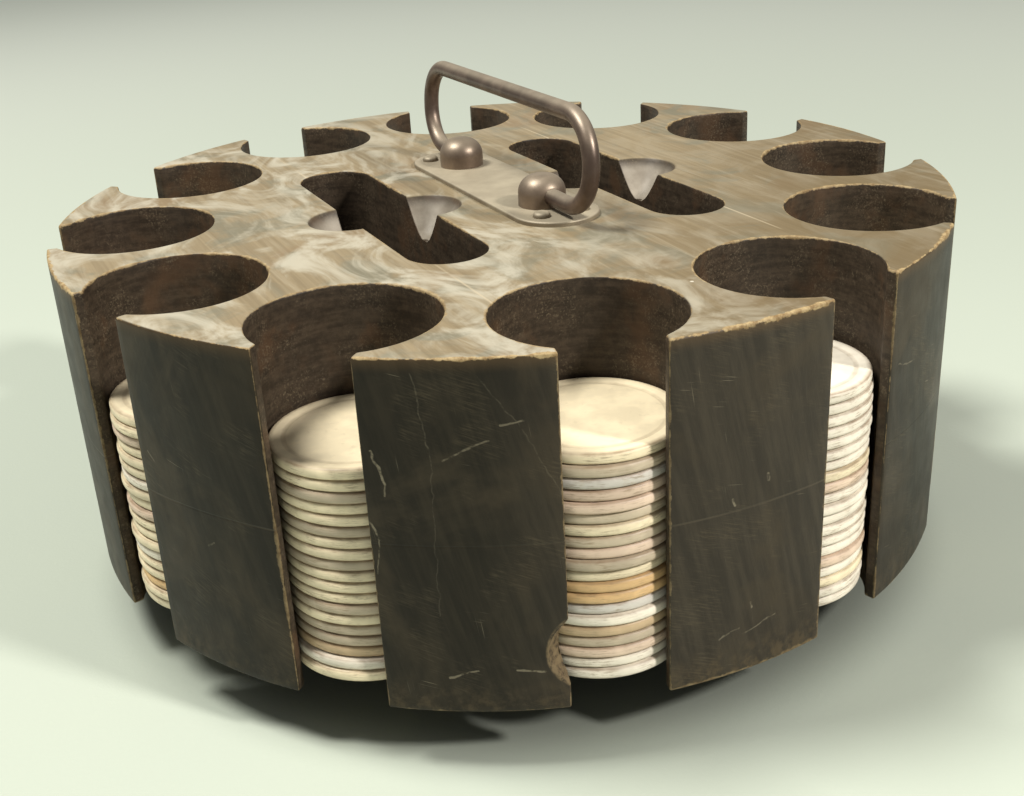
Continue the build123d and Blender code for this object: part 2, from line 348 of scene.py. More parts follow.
def edge_wear(g, d, long_wear):
    """How far the varnish has worn off along the body's edges, most of all along the top rim."""
    spread = g.between(g.fade(g.noise(3.2, 4.0, 0.7), 0.3, 0.7), 0.25, 1.15)
    spread = g.math("MULTIPLY", spread, g.between(g.fade(long_wear, 0.35, 0.65), 0.45, 1.4))
    holes = g.least(d["hole"], d["pocket"])
    hole_edge = g.math("MAXIMUM", d["top"], holes)
    beside_holes = g.math("MAXIMUM", d["rim"], g.math("MULTIPLY", d["hole"], -1.0))
    rim_edge = g.math("MAXIMUM", d["top"], beside_holes)
    low_edge = g.math("MAXIMUM", d["bottom"], g.math("MINIMUM", d["rim"], d["hole"]))
    upright_edge = g.math("MAXIMUM", d["rim"], d["hole"])
    rim_wear = crisp(g, rim_edge, g.math("MULTIPLY", spread, 0.95))
    hole_wear = crisp(g, hole_edge, g.math("MULTIPLY", spread, 0.7))
    low_wear = crisp(g, low_edge, g.math("MULTIPLY", spread, 0.9))
    upright_wear = crisp(g, upright_edge, g.math("MULTIPLY", spread, 0.65))
    wear = g.math("MAXIMUM", rim_wear, g.math("MULTIPLY", hole_wear, 0.75))
    wear = g.math("MAXIMUM", wear, g.math("MULTIPLY", low_wear, 0.45))
    return g.math("MAXIMUM", wear, g.math("MULTIPLY", upright_wear, 0.42))


def top_tone(g, d, grain, fine_grain):
    """Handled top: brown with grain along the boards, grey stains and a pale dusty haze."""
    tone = g.mix(g.fade(grain, 0.3, 0.7), (0.195, 0.152, 0.090), (0.262, 0.208, 0.127))
    tone = g.mix(g.math("MULTIPLY", g.fade(fine_grain, 0.5, 0.72), 0.2), tone, (0.18, 0.138, 0.085))
    rubbed = g.fade(g.noise(30.0, 3.0, 0.5, None, 0.5), 0.54, 0.70)
    tone = g.mix(g.math("MULTIPLY", rubbed, 0.5), tone, (0.195, 0.130, 0.070))
    stain = g.fade(g.noise(22.0, 4.0, 0.6, None, 1.2), 0.48, 0.66)
    tone = g.mix(g.math("MULTIPLY", stain, 0.7), tone, (0.150, 0.147, 0.108))
    front_right = g.math("SUBTRACT", g.math("MULTIPLY", d["x"], 0.7), g.math("MULTIPLY", d["y"], 0.7))
    darker = g.math("MULTIPLY", g.fade(front_right, 15.0, 95.0), g.between(stain, 0.75, 0.5))
    tone = g.mix(darker, tone, (0.125, 0.090, 0.043))
    left = g.between(g.fade(d["x"], 40.0, -35.0), 0.15, 1.0)
    haze = g.fade(g.noise(17.0, 5.0, 0.6, g.stretched((1.0, 1.7, 1.0)), 1.8), 0.41, 0.66)
    tone = g.mix(g.math("MULTIPLY", g.math("MULTIPLY", haze, left), 0.85), tone, (0.43, 0.400, 0.315))
    streak = g.fade(g.noise(1.0, 4.0, 0.6, g.stretched((3.0, 55.0, 9.0)), 0.8), 0.54, 0.70)
    return g.mix(g.math("MULTIPLY", streak, 0.2), tone, (0.42, 0.375, 0.280))


def outer_tone(g, d, spot, long_wear):
    """Nearly black varnish with scuffed patches and rubbed low edges, and painted light: a paler tone on
    the teeth that face the front.
    """
    brushed = g.noise(1.0, 4.0, 0.65, g.stretched((2.6, 30.0, 1.0), (0, 0, 0.25), spot))
    stroke = g.fade(brushed, 0.35, 0.7)
    tone = g.mix(stroke, (0.0125, 0.0098, 0.0056), (0.0235, 0.0185, 0.0110))
    # Painted light: the teeth facing the front (-Y) get a paler tone that stands in for the light falling
    # on them.
    painted_light_tone = g.mix(stroke, (0.0280, 0.0225, 0.0160), (0.0460, 0.0370, 0.0255))
    tone = g.mix(g.fade(d["y"], -99.0, -112.0), tone, painted_light_tone)
    blotch = g.fade(g.noise(24.0, 4.0, 0.6, None, 0.8), 0.47, 0.70)
    tone = g.mix(g.math("MULTIPLY", blotch, 0.6), tone, (0.052, 0.039, 0.023))
    fibres = g.noise(1.0, 3.0, 0.65, g.stretched((0.35, 5.0, 1.0), (0, 0, 1.2), spot))
    scuffed = g.fade(g.noise(13.0, 3.0, 0.6), 0.48, 0.66)
    scuffed = g.math("MULTIPLY", scuffed, g.fade(fibres, 0.45, 0.68))
    tone = g.mix(g.math("MULTIPLY", scuffed, 0.32), tone, (0.115, 0.090, 0.054))
    ragged = g.fade(g.noise(3.5, 4.0, 0.7), 0.42, 0.66)
    low = g.math("MULTIPLY", g.fade(d["bottom"], 11.0, 0.0), ragged)
    return g.mix(g.math("MULTIPLY", low, g.between(long_wear, 0.1, 0.75)), tone, (0.105, 0.075, 0.040))


def wall_tone(g, mottle):
    """The bored wells: dark brown with faint drill rings, reddish patches and dusty flecks."""
    rings = g.noise(1.0, 3.0, 0.6, g.stretched((9.0, 9.0, 1.2)))
    uneven_tone = g.math("MULTIPLY", g.math("ADD", rings, mottle), 0.5)
    tone = g.mix(g.fade(uneven_tone, 0.36, 0.66), (0.028, 0.0205, 0.0140), (0.062, 0.045, 0.030))
    red = g.fade(g.noise(13.0, 3.0, 0.6), 0.50, 0.68)
    tone = g.mix(g.math("MULTIPLY", red, 0.6), tone, (0.085, 0.048, 0.026))
    flecks = g.fade(g.noise(0.55, 3.0, 0.7), 0.50, 0.70)
    dusty = g.fade(g.noise(10.0, 3.0, 0.6), 0.40, 0.64)
    return g.mix(g.math("MULTIPLY", g.math("MULTIPLY", flecks, dusty), 0.6), tone, (0.185, 0.148, 0.098))


def glue_lines(g, d, colour, upward, long_wear):
    """Pale lines where the two layers and the top boards meet, and the layer line on its own."""
    layer_gap = g.math("ABSOLUTE", g.math("SUBTRACT", d["z"], LAYER_JOINT / MM))
    layer_line = g.fade(layer_gap, 0.32, 0.1)
    shown = g.math("MULTIPLY", layer_line, g.fade(long_wear, 0.40, 0.58))
    colour = g.mix(g.math("MULTIPLY", shown, 0.45), colour, (0.090, 0.074, 0.05))
    board_gap = g.math("SUBTRACT", g.math("ABSOLUTE", d["x"]), BOARD_JOINT_X / MM)
    board_line = g.fade(g.math("ABSOLUTE", board_gap), 0.38, 0.12)
    shown = g.math("MULTIPLY", board_line, g.fade(g.noise(21.0, 2.0), 0.35, 0.6))
    shown = g.math("MULTIPLY", g.math("MULTIPLY", shown, upward), 0.5)
    return g.mix(shown, colour, (0.50, 0.42, 0.29)), layer_line


def cut_surfaces(g, d, colour, mottle):
    """Pale colour in the finger scoops as a painted highlight for the glint on their polished cut wood, and
    paler bare wood where the tooth is broken.
    """
    past_wall = g.fade(d["pocket"], 0.0, 0.35)
    in_scoop = g.math("MULTIPLY", g.fade(g.math("ABSOLUTE", d["scoop"]), 0.9, 0.3), past_wall)
    in_scoop = g.math("MULTIPLY", in_scoop, g.fade(d["top"], 0.2, 3.5))
    # Painted highlight: the scoops' pale colour stands in for the glint on their polished faces.
    patches = g.fade(g.noise(6.0, 3.0), 0.35, 0.7)
    scoop_glint_colour = g.mix(patches, (0.215, 0.185, 0.145), (0.315, 0.280, 0.228))
    colour = g.mix(in_scoop, colour, scoop_glint_colour)
    middle = g.node("ShaderNodeVectorMath", operation="DISTANCE")
    g.join(g.place, middle.inputs[0])
    middle.inputs[1].default_value = BREAK_CENTRE / MM
    off_break = g.math("ABSOLUTE", g.math("SUBTRACT", middle.outputs["Value"], BREAK_RADIUS / MM))
    broken = g.math("MULTIPLY", g.fade(off_break, 0.7, 0.2), g.fade(mottle, 0.3, 0.6))
    return g.mix(g.math("MULTIPLY", broken, 0.6), colour, (0.24, 0.175, 0.095))


def carousel_wood():
    """The body's wood: dark varnish that is worn, scratched and dusty."""
    g = Graph("carousel_wood")
    d = body_distances(g)
    upward, outward = face_shares(g, d)
    long_wear = g.noise(34.0, 2.0, 0.5)
    mottle = g.noise(1.7, 4.0, 0.7)
    grain = g.noise(1.0, 5.0, 0.6, g.stretched((1.6, 52.0, 9.0)), 0.4)
    fine_grain = g.noise(1.0, 3.0, 0.6, g.stretched((0.35, 14.0, 2.5)))

    spot = unrolled(g, d)
    colour = g.mix(outward, wall_tone(g, mottle), outer_tone(g, d, spot, long_wear))
    colour = g.mix(upward, colour, top_tone(g, d, grain, fine_grain))
    scratches = g.math("MULTIPLY", all_scratches(g, spot), outward)
    colour = g.mix(scratches, colour, (0.26, 0.225, 0.155))
    near_rim = g.fade(g.math("MAXIMUM", d["top"], d["rim"]), 3.5, 0.0)
    rubbed = g.math("MULTIPLY", near_rim, g.between(long_wear, 0.1, 0.8))
    colour = g.mix(g.math("MULTIPLY", rubbed, outward), colour, (0.110, 0.070, 0.034))
    wear = edge_wear(g, d, long_wear)
    bare = g.mix(g.fade(mottle, 0.3, 0.7), (0.19, 0.120, 0.052), (0.42, 0.32, 0.170))
    colour = g.mix(wear, colour, bare)
    colour, layer_line = glue_lines(g, d, colour, upward, long_wear)
    colour = cut_surfaces(g, d, colour, mottle)
    speck = g.math("MULTIPLY", g.specks(11.0, 0.55), g.fade(long_wear, 0.5, 0.6))
    colour = g.mix(g.math("MULTIPLY", speck, upward), colour, (0.70, 0.66, 0.56))

    roughness = g.between(g.noise(6.0, 3.0), 0.36, 0.56)
    roughness = g.math("ADD", roughness, g.math("MULTIPLY", wear, 0.16))
    relief = g.math("ADD", g.math("MULTIPLY", grain, 0.5), g.math("MULTIPLY", mottle, 0.4))
    dents = g.math("ADD", g.math("MULTIPLY", scratches, 0.6), g.math("MULTIPLY", layer_line, 0.6))
    normal = g.bump(g.math("SUBTRACT", relief, dents), 0.14, 0.6)
    return g.finish(colour, roughness, normal, Specular_IOR_Level=0.2)


def hidden_wood():
    """Dark stained wood of the base and the chip floor."""
    g = Graph("hidden_wood")
    grain = g.noise(1.0, 5.0, 0.6, g.stretched((1.2, 40.0, 6.0)), 0.5)
    fine = g.noise(0.9, 3.0)
    colour = g.mix(g.fade(grain, 0.3, 0.7), (0.030, 0.021, 0.013), (0.085, 0.060, 0.036))
    colour = g.mix(g.math("MULTIPLY", g.fade(fine, 0.55, 0.75), 0.3), colour, (0.13, 0.10, 0.065))
    return g.finish(colour, g.between(grain, 0.5, 0.7), g.bump(grain, 0.2, 0.6))


def felt():
    g = Graph("felt")
    fibres = g.noise(0.5, 4.0, 0.7)
    patches = g.noise(12.0, 3.0)
    colour = g.mix(fibres, (0.020, 0.050, 0.028), (0.050, 0.105, 0.060))
    colour = g.mix(g.math("MULTIPLY", g.fade(patches, 0.45, 0.7), 0.4), colour, (0.10, 0.11, 0.085))
    return g.finish(colour, 0.95, g.bump(fibres, 0.3), Sheen_Weight=0.4)


def old_metal(name, dark, pale, low_rough, high_rough, metallic=0.7, dusty=0.0):
    """Handled metal: a brown patina, paler where it is rubbed, with dust that settles on top."""
    g = Graph(name)
    rubbed = g.fade(g.noise(9.0, 4.0, 0.6), 0.36, 0.68)
    pits = g.noise(0.8, 4.0, 0.7)
    colour = g.mix(rubbed, dark, pale)
    colour = g.mix(g.math("MULTIPLY", g.fade(pits, 0.58, 0.78), 0.35), colour, tuple(c * 0.5 for c in dark))
    roughness = g.between(pits, low_rough, high_rough)
    relief = g.bump(pits, 0.04, 0.5)
    if not dusty:
        return g.finish(colour, roughness, relief, metallic)
    facing = g.node("ShaderNodeSeparateXYZ")
    g.join(g.coordinates.outputs["Normal"], facing.inputs[0])
    uneven_dust = g.between(g.noise(7.0, 3.0), 0.35, 1.0)
    settled = g.math("MULTIPLY", g.fade(facing.outputs[2], 0.1, 1.0), uneven_dust)
    settled = g.math("MULTIPLY", settled, dusty)
    colour = g.mix(settled, colour, (0.42, 0.37, 0.27))
    shine = g.math("MULTIPLY", g.math("SUBTRACT", 1.0, settled), metallic)
    roughness = g.math("ADD", roughness, g.math("MULTIPLY", settled, 0.25))
    return g.finish(colour, roughness, relief, shine)


def composition():
    """Aged clay-composition chips.  Each chip carries its own colour."""
    g = Graph("chip_composition")
    colour = g.node("ShaderNodeAttribute", attribute_name="chip_colour").outputs["Color"]
    edge = g.node("ShaderNodeAttribute", attribute_name="chip_edge").outputs["Fac"]
    gap_shade = g.node("ShaderNodeAttribute", attribute_name="chip_gap_shade").outputs["Fac"]
    patchy = g.mix(g.fade(g.noise(7.0, 3.0), 0.35, 0.7), (0.86, 0.86, 0.86), (1.05, 1.05, 1.05))
    colour = g.mix(1.0, colour, patchy, "MULTIPLY")
    streaks = g.fade(g.noise(1.0, 4.0, 0.7, g.stretched((3.0, 3.0, 0.28))), 0.46, 0.68)
    smudge = g.fade(g.noise(6.0, 3.0, 0.6), 0.35, 0.65)
    dirt = g.math("MULTIPLY", g.math("MULTIPLY", streaks, smudge), edge)
    colour = g.mix(g.math("MULTIPLY", dirt, 0.75), colour, (0.24, 0.165, 0.095))
    # Painted shade with some grime: darker in the grooves of the faces and in the gaps where stacked chips
    # meet, uneven with the smudges.
    shaded_gaps = g.math("MULTIPLY", gap_shade, g.between(smudge, 0.55, 1.0))
    colour = g.mix(g.math("MULTIPLY", shaded_gaps, 0.85), colour, (0.19, 0.115, 0.055))
    grime = g.math("MULTIPLY", g.fade(g.noise(3.0, 4.0, 0.65), 0.56, 0.75), 0.25)
    colour = g.mix(grime, colour, (0.45, 0.37, 0.24))
    roughness = g.between(g.noise(2.0, 3.0), 0.36, 0.55)
    return g.finish(colour, roughness, g.bump(g.noise(0.6, 3.0), 0.03, 0.7), Specular_IOR_Level=0.45)


def pale_floor():
    """A plain pale floor with a painted shadow beneath the base, and paler far away."""
    g = Graph("pale_floor")
    split = g.node("ShaderNodeSeparateXYZ")
    g.join(g.place, split.inputs[0])
    reach = g.length(split.outputs[0], split.outputs[1])
    # Painted shadow: the floor is darkened under the base for a deep contact shadow.
    painted_contact_shadow = g.fade(reach, 122.0, 98.0)
    colour = g.mix(g.fade(reach, 250.0, 1300.0), (0.440, 0.487, 0.415), (0.74, 0.79, 0.71))
    colour = g.mix(painted_contact_shadow, colour, (0.15, 0.165, 0.14))
    return g.finish(colour, 0.9, g.bump(g.noise(1.2, 2.0), 0.12, 0.4))


# ---------------------------------------------------------------- mesh helpers
def connect(bm, lower, upper):
    """Quads between two closed rows of vertices."""
    count = len(lower)
    for i in range(count):
        j = (i + 1) % count
        bm.faces.new((lower[i], lower[j], upper[j], upper[i]))


def row(bm, loop, z):
    return [bm.verts.new((x, y, z)) for x, y in loop]


def fill(bm, loops):
    """Closes a flat region bounded by one outer loop and any inner ones."""
    edges = []
    for verts in loops:
        for a, b in zip(verts, verts[1:] + verts[:1]):
            edges.append(bm.edges.get((a, b)) or bm.edges.new((a, b)))
    bmesh.ops.triangle_fill(bm, use_beauty=True, use_dissolve=False, edges=edges)


def mitred(loop, distance):
    """The loop moved sideways to its left by distance, with mitred corners."""
    points = np.array(loop)
    ahead = np.roll(points, -1, axis=0) - points
    ahead /= np.linalg.norm(ahead, axis=1)[:, None]
    behind = np.roll(ahead, 1, axis=0)
    left = np.stack([-ahead[:, 1], ahead[:, 0]], -1) + np.stack([-behind[:, 1], behind[:, 0]], -1)
    left /= np.linalg.norm(left, axis=1)[:, None]
    half_turn = np.sqrt((1 + (ahead * behind).sum(1)) / 2).clip(0.5)
    return points + left * (distance / half_turn)[:, None]


def weight_layer(bm):
    return bm.edges.layers.float.get("bevel_weight_edge") or bm.edges.layers.float.new("bevel_weight_edge")


def uneven(point, size, low, high):
    """A value between low and high that drifts over this distance."""
    wave = noise.noise(Vector(point) / size) * 0.5 + 0.5
    return low + (high - low) * min(1.0, max(0.0, (wave - 0.2) / 0.6))


def soften(bm, verts, low, high, layer, closed=True):
    """Worn rounding along a chain of vertices."""
    pairs = zip(verts, verts[1:] + verts[:1]) if closed else zip(verts, verts[1:])
    for a, b in pairs:
        edge = bm.edges.get((a, b))
        edge[layer] = uneven((a.co + b.co) / 2, 11 * MM, low, high)


def as_object(bm, name, material, body, nodes):
    bmesh.ops.recalc_face_normals(bm, faces=bm.faces)
    mesh = bpy.data.meshes.new(name)
    bm.to_mesh(mesh)
    bm.free()
    made = bpy.data.objects.new(name, mesh)
    bpy.context.collection.objects.link(made)
    mesh.materials.append(material)
    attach(made, body)
    if nodes:
        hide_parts(*nodes)
    return made


def settle(piece, sharp_angle):
    """Applies the piece's modifiers and shades it smooth up to an angle."""
    bpy.context.view_layer.update()
    seen = piece.evaluated_get(bpy.context.evaluated_depsgraph_get())
    mesh = bpy.data.meshes.new_from_object(seen)
    piece.modifiers.clear()
    piece.data = mesh
    mesh.shade_smooth()
    mesh.set_sharp_from_angle(angle=math.radians(sharp_angle))


# ---------------------------------------------------------------- wooden body
def body_loop(arc_steps=18, well_steps=52):
    """The body's outline, counter-clockwise, and the places of its corners in the list."""
    rim_half = math.asin(RIM_SLOT / 2 / BODY_RADIUS)
    mouth_angle = math.asin(RIM_SLOT / 2 / WELL_RADIUS)
    points, corners = [], []
    for well in range(WELLS):
        middle = WELL_START + well * WELL_PITCH
        begin, end = middle - WELL_PITCH + rim_half, middle - rim_half
        corners += [len(points), len(points) + arc_steps]
        for i in range(arc_steps + 1):
            a = begin + (end - begin) * i / arc_steps
            points.append((BODY_RADIUS * math.cos(a), BODY_RADIUS * math.sin(a)))
        turned = Matrix.Rotation(middle, 2)
        corners += [len(points), len(points) + well_steps]
        for i in range(well_steps + 1):
            a = -mouth_angle - (2 * math.pi - 2 * mouth_angle) * i / well_steps
            local = Vector((WELL_CIRCLE + WELL_RADIUS * math.cos(a), WELL_RADIUS * math.sin(a)))
            points.append(tuple(turned @ local))
    return points, corners


def pocket_loop(side, scoop=0.0, flat=False, steps=18, end_steps=20):
    """A card pocket's outline, clockwise, with a finger scoop of this radius in each long wall."""
    half_width, half_straight = POCKET_WIDTH / 2, (POCKET_LENGTH - POCKET_WIDTH) / 2
    points = []
    for wall in (1, -1):
        for i in range(4):
            y = half_straight + (max(scoop, SCOOP_TIP) - half_straight) * i / 4
            points.append((wall * half_width, wall * y))
        for i in range(steps + 1):
            a = math.pi / 2 - math.pi * i / steps
            reach = 0.0 if flat else scoop * math.cos(a)
            y = max(scoop, SCOOP_TIP) * math.sin(a)
            points.append((wall * (half_width + reach), wall * y))
        for i in range(1, 4):
            y = -max(scoop, SCOOP_TIP) + (max(scoop, SCOOP_TIP) - half_straight) * i / 4
            points.append((wall * half_width, wall * y))
        for i in range(end_steps):
            a = -math.pi * i / end_steps
            x = half_width * math.cos(a)
            y = -half_straight + half_width * math.sin(a)
            points.append((wall * x, wall * y))
    return [(side * POCKET_X + x, y) for x, y in points]


def levels(low, high, step):
    """Even heights from low to high, about a step apart."""
    count = max(1, round((high - low) / step))
    return [low + (high - low) * i / count for i in range(count + 1)]


def upper_layer(material):
    """The upper layer: wells and pockets go right through, scoops are cut in its top."""
    bm = bmesh.new()
    layer = weight_layer(bm)
    loop, corners = body_loop()
    rows = [row(bm, loop, z) for z in levels(LAYER_JOINT, BODY_TOP, UPPER_STEP)]
    for lower, upper in zip(rows, rows[1:]):
        connect(bm, lower, upper)
    crest = row(bm, mitred(loop, EDGE_INSET), BODY_TOP)
    connect(bm, rows[-1], crest)
    tops, bottoms = [crest], [rows[0]]
    soften(bm, rows[-1], 0.25, 0.95, layer)
    for corner in corners:
        soften(bm, [r[corner] for r in rows], 0.2, 0.6, layer, closed=False)

    scoop_low = BODY_TOP - SCOOP_DEPTH
    for side in (-1, 1):
        plain = pocket_loop(side, 0.0, True)
        pocket_rows = [row(bm, plain, z) for z in levels(LAYER_JOINT, scoop_low, POCKET_STEP)]
        for z in levels(scoop_low, BODY_TOP, SCOOP_STEP):
            share = (z - scoop_low) / SCOOP_DEPTH
            reach = SCOOP_TIP + (SCOOP_RADIUS - SCOOP_TIP) * share**SCOOP_SWELL
            pocket_rows.append(row(bm, pocket_loop(side, reach), z))
        for lower, upper in zip(pocket_rows, pocket_rows[1:]):
            connect(bm, lower, upper)
        top_row = pocket_rows[-1]
        brink = row(bm, mitred([v.co.xy for v in top_row], EDGE_INSET), BODY_TOP)
        connect(bm, top_row, brink)
        soften(bm, top_row, 0.3, 0.8, layer)
        tops.append(brink)
        bottoms.append(pocket_rows[0])
    fill(bm, tops)
    fill(bm, bottoms)
    bmesh.ops.remove_doubles(bm, verts=bm.verts, dist=SAME_PLACE)
    boards = [f"upper_board_{place}" for place in ("left", "middle", "right")]
    piece = as_object(bm, "upper_wood", material, "carousel", boards)
    round_edges(piece)
    settle(piece, 40)
    return piece


def lower_layer(material):
    """The lower layer: wells go right through, pockets end in a floor, one tooth is broken."""
    bm = bmesh.new()
    layer = weight_layer(bm)
    loop, corners = body_loop()
    rows = [row(bm, loop, z) for z in levels(BODY_BOTTOM, LAYER_JOINT, LOWER_STEP)]
    for lower, upper in zip(rows, rows[1:]):
        connect(bm, lower, upper)
    sole = row(bm, mitred(loop, EDGE_INSET), BODY_BOTTOM)
    connect(bm, sole, rows[0])
    tops = [rows[-1]]
    soften(bm, rows[0], 0.35, 1.0, layer)
    for corner in corners:
        soften(bm, [r[corner] for r in rows], 0.2, 0.6, layer, closed=False)
    for side in (-1, 1):
        walls = [row(bm, pocket_loop(side, 0.0, True), z) for z in (POCKET_FLOOR, LAYER_JOINT)]
        connect(bm, *walls)
        fill(bm, [walls[0]])
        tops.append(walls[1])
    fill(bm, tops)
    fill(bm, [sole])
    for v in bm.verts:
        offset = v.co - BREAK_CENTRE
        if offset.length < BREAK_RADIUS:
            ragged = 1 + 0.06 * noise.noise(v.co / (2.5 * MM))
            v.co = BREAK_CENTRE + offset.normalized() * BREAK_RADIUS * ragged
    boards = [f"lower_board_{place}" for place in ("left", "middle", "right")]
    piece = as_object(bm, "lower_wood", material, "carousel", boards)
    round_edges(piece)
    cut_rebate(piece)
    settle(piece, 40)
    return piece


def round_edges(piece):
    bevel = piece.modifiers.new("worn_edges", "BEVEL")
    bevel.limit_method = "WEIGHT"
    bevel.width = ROUNDING
    bevel.segments = 3
    bevel.use_clamp_overlap = True


def cut_rebate(piece):
    """The chip floor lies in a round rebate under the body, with room for the nut above it."""
    bm = bmesh.new()
    clear = 5 * MM
    below = BODY_BOTTOM - clear
    depth = FLOOR_DISC_TOP - below
    spot = Matrix.Translation((0, 0, below + depth / 2))
    bmesh.ops.create_cone(
        bm,
        cap_ends=True,
        segments=180,
        radius1=REBATE_RADIUS,
        radius2=REBATE_RADIUS,
        depth=depth,
        matrix=spot,
    )
    mesh = bpy.data.meshes.new("rebate_cutter")
    bm.to_mesh(mesh)
    bm.free()
    cutter = bpy.data.objects.new("rebate_cutter", mesh)
    bpy.context.collection.objects.link(cutter)
    cut = piece.modifiers.new("rebate", "BOOLEAN")
    cut.operation = "DIFFERENCE"
    cut.solver = "EXACT"
    cut.object = cutter
    bpy.context.view_layer.update()
    seen = piece.evaluated_get(bpy.context.evaluated_depsgraph_get())
    piece.data = bpy.data.meshes.new_from_object(seen)
    piece.modifiers.clear()
    bpy.data.objects.remove(cutter)


# ---------------------------------------------------------------- chips
CHIP_AROUND = 72
CHIP_RADIUS = 19.05 * MM
CHIP_WEAR = 0.14 * MM
CHIP_LEAN = 0.0011

CHIP_COLOURS = {
    "c": (0.87, 0.750, 0.520),
    "p": (0.76, 0.59, 0.45),
    "g": (0.55, 0.46, 0.335),
    "t": (0.58, 0.43, 0.26),
    "o": (0.76, 0.50, 0.24),
    "s": (0.64, 0.60, 0.54),
    "w": (0.87, 0.80, 0.67),
}
# Colours from the lowest chip up, for the wells that face the front.
SEEN_STACKS = {
    7: "cwtggcgcccgccgccgcc",
    8: "wwpgtwsoocgpgcgppsgc",
    9: "wwcwpwwwwwwpcwwwwwww",
    6: "ccoccwcccpccwcccpccc",
}
USUAL_COLOURS = "ccccccpppgwwtc"


def chip_profile(radius, thickness):
    """Radius, height, edge share and painted-shade share of each ring, from the lower face to the upper."""
    # The last share of each ring darkens the face groove and the gap where chips meet, as painted shade.
    half = [
        (radius * 0.30, 0.12, 0.0, 0.0),
        (radius * 0.78, 0.13, 0.0, 0.0),
        (radius * 0.80, 0.24, 0.0, 0.35),
        (radius * 0.835, 0.24, 0.0, 0.35),
        (radius * 0.855, 0.08, 0.0, 0.0),
        (radius - 1.4 * MM, 0.03, 0.0, 0.0),
        (radius - 0.62 * MM, 0.02, 0.2, 0.55),
        (radius - 0.30 * MM, 0.16, 0.7, 0.9),
        (radius - 0.10 * MM, 0.46, 1.0, 0.15),
        (radius, 0.85, 1.0, 0.0),
    ]
    low = [(reach, height * MM, edge, gap_shade) for reach, height, edge, gap_shade in half]
    high = [(reach, thickness - height, edge, gap_shade) for reach, height, edge, gap_shade in reversed(low)]
    return low + high


def add_chip(bm, turn, radius, thickness, colour, layers):
    colour_layer, edge_layer, gap_shade_layer = layers
    rings = []
    for reach, height, edge, gap_shade in chip_profile(radius, thickness):
        ring = []
        for i in range(CHIP_AROUND):
            a = 2 * math.pi * i / CHIP_AROUND
            v = bm.verts.new(turn @ Vector((reach * math.cos(a), reach * math.sin(a), height)))
            v[colour_layer] = (*colour, 1)
            v[edge_layer] = edge
            v[gap_shade_layer] = gap_shade
            ring.append(v)
        rings.append(ring)
    for lower, upper in zip(rings, rings[1:]):
        connect(bm, lower, upper)
    bm.faces.new(rings[0][::-1])
    bm.faces.new(rings[-1])


def chip_colour(well, level, draw):
    seen = SEEN_STACKS.get(well)
    letter = seen[level] if seen and level < len(seen) else draw.choice(USUAL_COLOURS)
    shade = draw.uniform(0.92, 1.04)
    return [part * shade for part in CHIP_COLOURS[letter]]


def chip_places(name):
    """The middle and underside of each chip of a CAD stack, lowest first."""
    low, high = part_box(name)
    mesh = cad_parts[name].data
    points = np.empty(len(mesh.vertices) * 3)
    mesh.vertices.foreach_get("co", points)
    points = points.reshape(-1, 3)
    levels_of = ((points[:, 2] - low[2]) / CHIP_PITCH).astype(int)
    for level in range(levels_of.max() + 1):
        own = points[levels_of == level]
        middle = (own.min(0) + own.max(0)) / 2
        yield Vector((middle[0], middle[1], low[2] + CHIP_PITCH * level))


def chip_stack(well, material):
    """One detailed chip for each chip of the CAD stack, at the same place."""
    name = f"chip_stack_{well + 1:02d}"
    draw = random.Random(40 + well)
    bm = bmesh.new()
    layers = (
        bm.verts.layers.float_color.new("chip_colour"),
        bm.verts.layers.float.new("chip_edge"),
        bm.verts.layers.float.new("chip_gap_shade"),
    )
    for level, place in enumerate(chip_places(name)):
        radius = CHIP_RADIUS - draw.uniform(0, CHIP_WEAR)
        thickness = CHIP_PITCH * draw.uniform(0.95, 0.975)
        lean_x, lean_y = draw.uniform(-CHIP_LEAN, CHIP_LEAN), draw.uniform(-CHIP_LEAN, CHIP_LEAN)
        lift = radius * (abs(lean_x) + abs(lean_y)) / 2
        lean = Matrix.Rotation(lean_x, 4, "X") @ Matrix.Rotation(lean_y, 4, "Y")
        turn = Matrix.Translation(place + Vector((0, 0, lift))) @ lean
        add_chip(bm, turn, radius, thickness, chip_colour(well, level, draw), layers)
    piece = as_object(bm, f"chips_seen_{well + 1:02d}", material, f"chips_{well + 1:02d}", [name])
    settle(piece, 35)
    return piece


# ---------------------------------------------------------------- felt pad
FELT_AROUND = 240
FELT_HOLE = 24 * MM
FELT_NAP = 0.4 * MM


def felt_ring(material):
    """The felt ring under the base: a flat cut sheet with soft, slightly uneven edges."""
    low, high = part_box("felt_pad")
    rim, bottom, top = float(high[0]), float(low[2]), float(high[2])
    edge = [(1.0, 0.0), (0.3, 0.3), (0.0, 1.0)]
    side = [(-inset, bottom + rise * FELT_NAP) for inset, rise in edge]
    side += [(-inset, top - rise * FELT_NAP) for inset, rise in reversed(edge)]
    section = [(rim + inset * FELT_NAP, z, -1) for inset, z in side]
    section += [(FELT_HOLE - inset * FELT_NAP, z, 1) for inset, z in reversed(side)]
    bm = bmesh.new()
    rings = []
    for reach, z, inward in section:
        ring = []
        for i in range(FELT_AROUND):
            a = 2 * math.pi * i / FELT_AROUND
            spot = (reach * math.cos(a), reach * math.sin(a), 0)
            cut = inward * uneven(spot, 9 * MM, 0.0, 0.5 * MM)
            ring.append(bm.verts.new(((reach + cut) * math.cos(a), (reach + cut) * math.sin(a), z)))
        rings.append(ring)
    for lower, upper in zip(rings, rings[1:] + rings[:1]):
        connect(bm, lower, upper)
    piece = as_object(bm, "felt_ring", material, "base", ["felt_pad"])
    settle(piece, 50)


